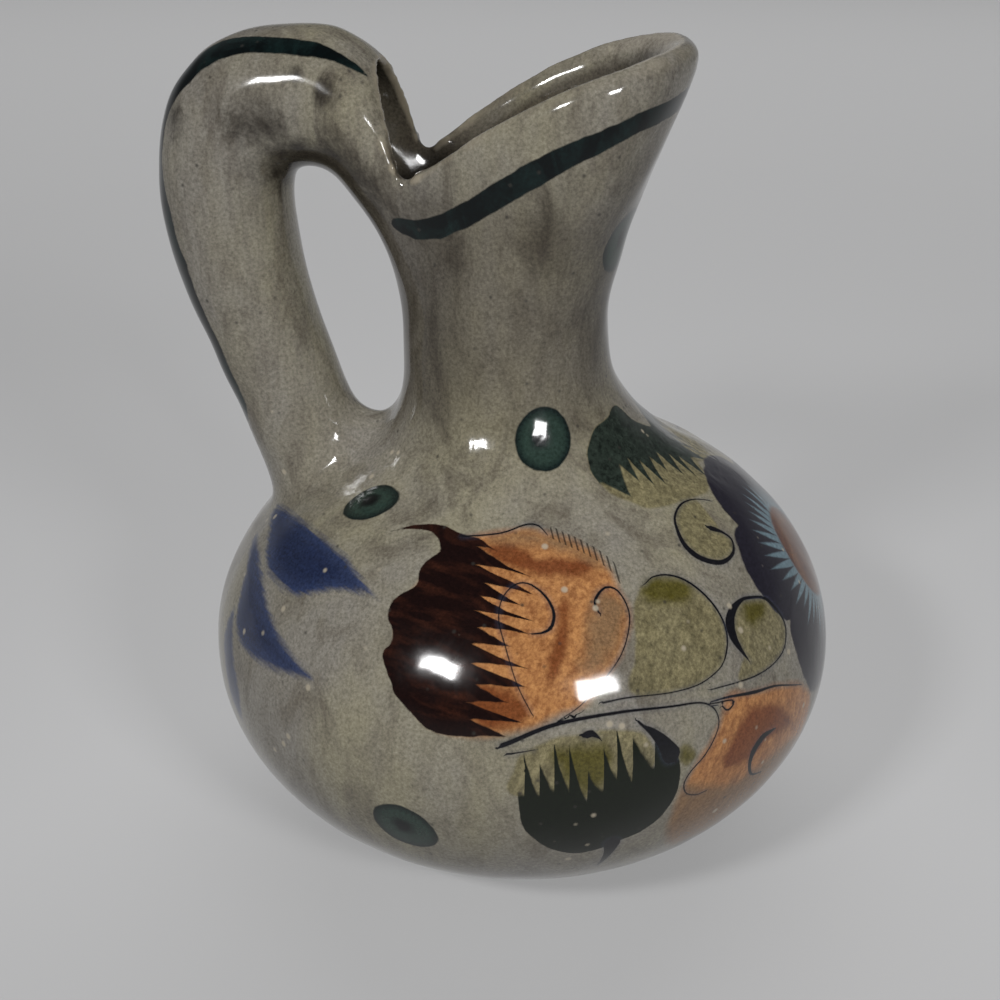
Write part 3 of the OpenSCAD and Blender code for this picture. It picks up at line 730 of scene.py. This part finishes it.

# Smoky glaze and painted shade on the handle and the neck: how far the patches break it up, and
# where it starts. Fine veins run through the handle's.
HANDLE_BREAK, HANDLE_START, NECK_BREAK, NECK_START = 4.4, 2.2, 3.0, 1.9
VEIN, VEIN_STEEP, VEIN_HALF, VEIN_PAST = 7 * MM, 10.0, 0.3, 0.2
smoke_and_shade = add("Math", TIMES_PLUS, {0: patch, 1: HANDLE_BREAK, 2: handle_smudge_and_shade})
smoke_and_shade = add("Math", MINUS, {0: smoke_and_shade, 1: HANDLE_START})
painted = brushed(ground, "#231e19", smoke_and_shade, 2.2, 0.88)
vein = add("TexNoise", {}, {"Vector": spot, "Scale": 1 / VEIN, "Detail": 3.0, "Distortion": 0.5})
vein = add("Math", MINUS, {0: vein, 1: 0.5})
vein = add("Math", SIZE, {0: vein})
vein = add("Math", TIMES_PLUS, {0: vein, 1: -VEIN_STEEP, 2: VEIN_HALF})
by_smudge_and_shade = add("Math", PLUS, {0: handle_smudge_and_shade, 1: VEIN_PAST})
vein = add("Math", LEAST, {0: vein, 1: by_smudge_and_shade})
painted = brushed(painted, "#1d1915", vein, 0.6, 0.25)
smoke_and_shade = add("Math", TIMES_PLUS, {0: patch, 1: NECK_BREAK, 2: neck_smudge_and_shade})
smoke_and_shade = add("Math", MINUS, {0: smoke_and_shade, 1: NECK_START})
painted = brushed(painted, "#2c2720", smoke_and_shade, 2.4, 0.7)

# Orange iron wash: thin and sandy at the edges, deep red-brown where it pooled
STROKE, STROKE_TURN = 1.8 * MM, -25
thin, deep, pale = field("orange")
turned = add("Mapping", {}, {"Vector": spot, "Rotation": (0, math.radians(STROKE_TURN), 0)})
strokes = add("Mapping", {}, {"Vector": turned, "Scale": (1, 1, 0.15)})
strokes = add("TexNoise", {}, {"Vector": strokes, "Scale": 1 / STROKE, "Detail": 3.0,
                               "Roughness": 0.65})
strokes = add("MapRange", {}, {"Value": strokes, "From Min": 0.34, "From Max": 0.68})
orange_paint = add("Mix", IN_COLOUR, {"Factor": strokes, "A": "#a57446", "B": "#7c4e2b"})
orange_paint = brushed(orange_paint, "#5f2d0e", deep, 2.8, 0.9, shake=1.4)
orange_paint = brushed(orange_paint, "#64523d", pale, 5.0, 0.75, shake=2.0)
painted = brushed(painted, orange_paint, thin, 3.2, 0.95, shake=0.8)

# Olive wash of copper and iron, dark where it pooled
thin, pool, _ = field("olive")
olive_paint = add("Mix", IN_COLOUR, {"Factor": strokes, "A": "#787051", "B": "#4e4830"})
painted = brushed(painted, olive_paint, thin, 1.2, 0.85, shake=0.6)
painted = brushed(painted, "#433e12", pool, 4.0, 0.9, shake=2.0)

# Cobalt blue, dry-brushed: streaks run along the stroke, fray its edges and leave its tail dry
STREAK, STREAK_LENGTH = 1.2, 14.0
FRAY, FRAY_IN, LOADED_IN = 3.6, 1.2, 3.0
depth, across, along = field("blue")
bristles = add("CombineXYZ", {}, {
    "X": add("Math", OVER, {0: across, 1: STREAK}),
    "Y": add("Math", OVER, {0: along, 1: STREAK_LENGTH})})
streaks = add("TexNoise", {}, {"Vector": bristles, "Scale": 1.0, "Detail": 3.0, "Roughness": 0.6})
frayed = add("Math", TIMES_PLUS, {0: streaks, 1: FRAY, 2: -FRAY_IN})
frayed = add("Math", PLUS, {0: depth, 1: frayed})
dry = add("MapRange", {}, {"Value": along, "From Min": 10.0, "From Max": 26.0, "To Max": 2.0})
frayed = add("Math", MINUS, {0: frayed, 1: dry})
blue_paint = add("Mix", IN_COLOUR, {"Factor": streaks, "A": "#0b1327", "B": "#2a3a60"})
painted = brushed(painted, blue_paint, frayed, 2.8, 0.95)
loaded = add("Math", MINUS, {0: frayed, 1: LOADED_IN})
painted = brushed(painted, "#0a122a", loaded, 5.0, 0.5)

# Manganese brown with the marks of the brush, and dark green, each ending in uneven teeth, between
# these shares of their stated length.
SHORT, LONG = 0.75, 1.2


def combed(name, length, pitch, sharp, lean=0.5):
    """Depth inside a painted field that ends in teeth of that length and pitch. Lean is where
    between two notches a tooth has its tip."""
    inside, count, past = field(name)
    step = add("Math", {"operation": "FRACT"}, {0: count})
    rise = add("Math", OVER, {0: step, 1: lean})
    fall = add("Math", MINUS, {0: 1.0, 1: step})
    fall = add("Math", OVER, {0: fall, 1: 1 - lean})
    tooth = add("Math", LEAST, {0: rise, 1: fall})
    tooth = add("Math", {"operation": "POWER"}, {0: tooth, 1: sharp})
    uneven = add("TexWhiteNoise", {"noise_dimensions": "1D"},
                 {"W": add("Math", {"operation": "FLOOR"}, {0: count})})
    reach = add("MapRange", {}, {"Value": uneven, "To Min": SHORT * length,
                                 "To Max": LONG * length})
    tooth = add("Math", TIMES, {0: tooth, 1: reach})
    tooth = add("Math", MINUS, {0: tooth, 1: past})
    tooth = add("Math", TIMES, {0: tooth, 1: pitch / (2 * length)})
    return add("Math", LEAST, {0: inside, 1: tooth})


BROWN_TOOTH, BROWN_PITCH = 11.5, 4.2
LOW_TOOTH, LOW_PITCH, LOW_LEAN = 10.5, 3.9, 0.06
HIGH_TOOTH, HIGH_PITCH = 7.5, 4.2
MARK_SLOPE, MARKS_PER_TOOTH, MARK_LENGTH = 0.08, 1.3, 11.0
_, row, past = field("brown")
sloping = add("Math", TIMES_PLUS, {0: past, 1: MARK_SLOPE, 2: row})
marks = add("CombineXYZ", {}, {
    "X": add("Math", TIMES, {0: sloping, 1: MARKS_PER_TOOTH}),
    "Y": add("Math", OVER, {0: past, 1: MARK_LENGTH})})
marks = add("TexNoise", {}, {"Vector": marks, "Scale": 1.0, "Detail": 3.0})
marks = add("MapRange", {}, {"Value": marks, "From Min": 0.48, "From Max": 0.8, "To Max": 0.6})
brown_paint = add("Mix", IN_COLOUR, {"Factor": marks, "A": "#120605", "B": "#3e2014"})
brown = combed("brown", BROWN_TOOTH, BROWN_PITCH, sharp=1.2)
painted = brushed(painted, brown_paint, brown, 0.4, shake=0.5)
low_leaf = combed("low_leaf", LOW_TOOTH, LOW_PITCH, sharp=1.5, lean=LOW_LEAN)
painted = brushed(painted, "#0a1006", low_leaf, 0.35, shake=0.3)
high_paint = add("Mix", IN_COLOUR, {"Factor": strokes, "A": "#28302a", "B": "#141a16"})
high_leaf = combed("high_leaf", HIGH_TOOTH, HIGH_PITCH, sharp=1.2)
painted = brushed(painted, high_paint, high_leaf, 0.45, shake=0.4)

# Blue-black petals, pale blue feathers and the brown eye of the flower under the lip
FEATHER, FEATHER_PITCH = 10.5, 2.8
petal, _, past_eye = field("petals")
painted = brushed(painted, "#1c1a23", petal, 0.8, shake=0.8)
feathers = combed("petals", FEATHER, FEATHER_PITCH, sharp=0.9)
painted = brushed(painted, "#61767f", feathers, 0.7, 0.85)
eye = add("Math", TIMES, {0: past_eye, 1: -1.0})
eye = add("Math", LEAST, {0: petal, 1: eye})
eye_paint = add("Mix", IN_COLOUR, {"Factor": patchy, "A": "#4a2c22", "B": "#6a4a32"})
painted = brushed(painted, eye_paint, eye, 1.6)

# Copper green, thick and nearly black in the bands, thinner in the dabbed dots
band, dab, core = field("green_band")
band_paint = add("Mix", IN_COLOUR, {"Factor": patchy, "A": "#020708", "B": "#10201f"})
painted = brushed(painted, band_paint, band, 0.5, shake=0.5)
rim_of_dab = add("MapRange", EASED, {"Value": dab, "From Min": 0.0, "From Max": 2.5})
dab_paint = add("Mix", IN_COLOUR, {"Factor": rim_of_dab, "A": "#0f1817", "B": "#24322c"})
painted = brushed(painted, dab_paint, dab, 0.5, shake=0.4)
painted = brushed(painted, "#05090b", core, 2.2, shake=1.5)

# Ink: the fringe's hairs, and lines that bleed a little into the glaze
fringe, hairs, _ = field("fringe")
hair = add("Math", {"operation": "FRACT"}, {0: hairs})
hair = add("Math", MINUS, {0: hair, 1: 0.5})
hair = add("Math", SIZE, {0: hair})
hair = add("Math", TIMES_PLUS, {0: hair, 1: -HAIR_PITCH, 2: HAIR_HALF})
hair = add("Math", LEAST, {0: hair, 1: fringe})
painted = brushed(painted, "#1d1917", hair, 0.3, 0.8)
LINE_END = 0.8
for number in range(len(line_layers)):
    across, away, half_width = field(f"brush_lines_{number}")
    bleeds = add("Math", MINUS, {0: half_width, 1: away})
    painted = brushed(painted, "#3a4152", bleeds, 3.0, 0.5)
    across = add("Math", SIZE, {0: across})
    inside = add("Math", MINUS, {0: half_width, 1: across})
    on_line = add("Math", PLUS, {0: half_width, 1: LINE_END})
    on_line = add("Math", MINUS, {0: on_line, 1: away})
    inked = add("Math", LEAST, {0: inside, 1: on_line})
    painted = brushed(painted, "#101014", inked, 0.3)

# Grain through ground and paint alike, iron specks of 0.8 mm and burst bubbles of 1.6 mm
painted = add("Mix", {"data_type": "RGBA", "blend_type": "SOFT_LIGHT"},
              {"Factor": 0.85, "A": painted, "B": grain})
# Each kind of spot: the cell it is spread over, its radius, the cloud that it starts in, whether it
# keeps off the neck, its colour
SPOTS = [(6.0, 0.42, 0.3, 0.0, "#2c2a27"), (7.5, 0.8, 0.45, 1.0, "#9e9583")]
for cell, radius, start, off_neck, paint in SPOTS:
    spots = add("TexVoronoi", {}, {"Vector": spot, "Scale": 1 / (cell * MM)})
    room_for = add("MapRange", {}, {"Value": cloud, "From Min": start - 0.03,
                                    "From Max": start + 0.1, "To Max": radius})
    room_for = add("Math", TIMES_PLUS, {0: up_neck, 1: -off_neck, 2: room_for})
    inside = add("Math", TIMES_PLUS,
                 {0: spots.outputs["Distance"], 1: -cell, 2: room_for})
    painted = brushed(painted, paint, inside, 0.7, 0.75)

# Thin glaze on lips and edges
edge = add("Attribute", {"attribute_name": "edge"}, {}).outputs["Fac"]
thin = add("MapRange", {}, {"Value": edge, "From Min": 0.035, "From Max": 0.09, "To Max": 0.65})
painted = add("Mix", IN_COLOUR, {"Factor": thin, "A": painted, "B": "#918876"})

# Bare clay of the underside: pale red-brown, and matt
BARE_BELOW, BARE_SOFT, MATT = 1.0, 0.4, 0.8
bare = add("MapRange", {}, {"Value": height, "From Min": (BARE_BELOW + BARE_SOFT) * MM,
                            "From Max": (BARE_BELOW - BARE_SOFT) * MM})
clay_tone = add("Mix", IN_COLOUR, {"Factor": patch, "A": "#84654e", "B": "#a08267"})
painted = add("Mix", IN_COLOUR, {"Factor": bare, "A": painted, "B": clay_tone})
gloss = add("MapRange", {}, {"Value": patch, "From Min": 0.3, "From Max": 0.7, "To Min": 0.07,
                             "To Max": 0.14})
gloss = add("Mix", {"data_type": "FLOAT"}, {"Factor": bare, "A": gloss, "B": MATT})

# The glaze's waves, and the ripples of its runs where the shoulder meets the neck and the handle
WAVE, WAVE_HEIGHT, RIPPLE, RIPPLE_SHARE = 10 * MM, 0.14 * MM, 6 * MM, 1.2
RIPPLE_FROM, RIPPLE_FULL = 98 * MM, 108 * MM
wave = add("TexNoise", {}, {"Vector": spot, "Scale": 1 / WAVE, "Detail": 2.0, "Roughness": 0.3})
on_shoulder = add("MapRange", EASED, {"Value": height, "From Min": RIPPLE_FROM,
                                      "From Max": RIPPLE_FULL})
on_shoulder = add("Math", MINUS, {0: on_shoulder, 1: up_neck})
ripple = add("TexNoise", {}, {"Vector": spot, "Scale": 1 / RIPPLE, "Detail": 1.0,
                              "Distortion": 1.0})
ripple = add("Math", TIMES, {0: ripple, 1: on_shoulder})
wave = add("Math", TIMES_PLUS, {0: ripple, 1: RIPPLE_SHARE, 2: wave})
wavy = add("Bump", {}, {"Height": wave, "Distance": WAVE_HEIGHT, "Strength": 1.0})
# Lead glaze has an IOR of about 1.6, but the pitcher's own reflections are dimmer
GLAZE_IOR = 1.42
shine = add("BsdfPrincipled", {}, {"Base Color": painted, "Roughness": gloss, "Normal": wavy,
                                   "IOR": GLAZE_IOR})
add("OutputMaterial", {}, {"Surface": shine})
for piece in pieces:
    piece.data.materials.clear()
    piece.data.materials.append(glazed)
    piece.data.polygons.foreach_set("material_index", np.zeros(len(piece.data.polygons), np.int32))

# Floor: a plain pale sheet, wide enough to fill the view behind the pitcher.
FLOOR_HALF = 6.0
floor_mesh = bpy.data.meshes.new("floor")
corners = [(x * FLOOR_HALF, y * FLOOR_HALF, 0) for x, y in ((-1, -1), (1, -1), (1, 1), (-1, 1))]
floor_mesh.from_pydata(corners, [], [(0, 1, 2, 3)])
floor = bpy.data.objects.new("floor", floor_mesh)
bpy.context.scene.collection.objects.link(floor)
paper = bpy.data.materials.new("matt_white_paper")
paper.use_nodes = True
tree = paper.node_tree
finish = tree.nodes["Principled BSDF"].inputs
finish["Base Color"].default_value = colour("#8d8d8e")
finish["Roughness"].default_value = 0.9
finish["Specular IOR Level"].default_value = 0.2
finish["Emission Color"].default_value = (1.0, 1.0, 1.0, 1.0)
# The paper stays pale far from the lamps, for the camera and for what mirrors it
PAPER_GLOW = 0.22
ray = add("LightPath", {}, {}).outputs
seen = add("Math", MOST, {0: ray["Is Camera Ray"], 1: ray["Is Glossy Ray"]})
seen = add("Math", MOST, {0: seen, 1: ray["Is Transmission Ray"]})
glow = add("Math", TIMES, {0: seen, 1: PAPER_GLOW})
tree.links.new(glow.outputs[0], finish["Emission Strength"])
floor_mesh.materials.append(paper)

# Light: two small softboxes in front, left and right, which give the glaze its bright marks, a wide
# soft panel above and behind, and a grey room.
room = bpy.data.worlds.new("room")
bpy.context.scene.world = room
room.use_nodes = True
tree = room.node_tree
walls = tree.nodes["Background"].inputs
walls["Color"].default_value = colour("#fcfdff")
# The room's walls are pale up to PALE_TO degrees above the floor, and dim from DIM_FROM degrees on
PALE_WALL, DIM_ROOM, PALE_TO, DIM_FROM = 0.28, 0.08, 4, 18
upward = add("SeparateXYZ", {}, {"Vector": add("TexCoord", {}, {}).outputs["Generated"]})
fade = add("MapRange", {}, {"Value": upward.outputs["Z"],
                            "From Min": math.sin(math.radians(PALE_TO)),
                            "From Max": math.sin(math.radians(DIM_FROM)),
                            "To Min": PALE_WALL, "To Max": DIM_ROOM})
tree.links.new(fade.outputs["Result"], walls["Strength"])
AIM = Vector((0, 0, 0.09))
# Each light: where it hangs, its width and height, its beam in degrees, its power in watts
LIGHTS = {"left_softbox": ((-0.35, -0.70, 0.64), (0.16, 0.10), 50, 0.45),
          "right_softbox": ((0.47, -0.72, 0.53), (0.20, 0.13), 50, 0.42),
          "back_panel": ((0.0, 1.6, 1.6), (3.2, 2.0), 150, 30.0)}
for name, (where, size, beam, watts) in LIGHTS.items():
    lamp = bpy.data.lights.new(name, "AREA")
    lamp.shape, lamp.size, lamp.size_y = "RECTANGLE", *size
    lamp.spread = math.radians(beam)
    lamp.energy = watts
    hung = bpy.data.objects.new(name, lamp)
    hung.location = where
    hung.rotation_euler = (AIM - Vector(where)).to_track_quat("-Z", "Y").to_euler()
    hung.visible_glossy = name != "back_panel"
    bpy.context.scene.collection.objects.link(hung)

# Camera: a little above the rim and close, at the photograph's angle.
CAMERA_AT, LOOK_DOWN, LOOK_LEFT = (0.03804, -0.38803, 0.27912), 25.26, 6.5
lens = bpy.data.cameras.new("camera")
lens.sensor_width, lens.lens = 36.0, 56.16
camera = bpy.data.objects.new("camera", lens)
camera.location = CAMERA_AT
camera.rotation_euler = (math.radians(90 - LOOK_DOWN), 0, math.radians(LOOK_LEFT))
bpy.context.scene.collection.objects.link(camera)
bpy.context.scene.camera = camera
bpy.context.scene.view_settings.view_transform = "Standard"
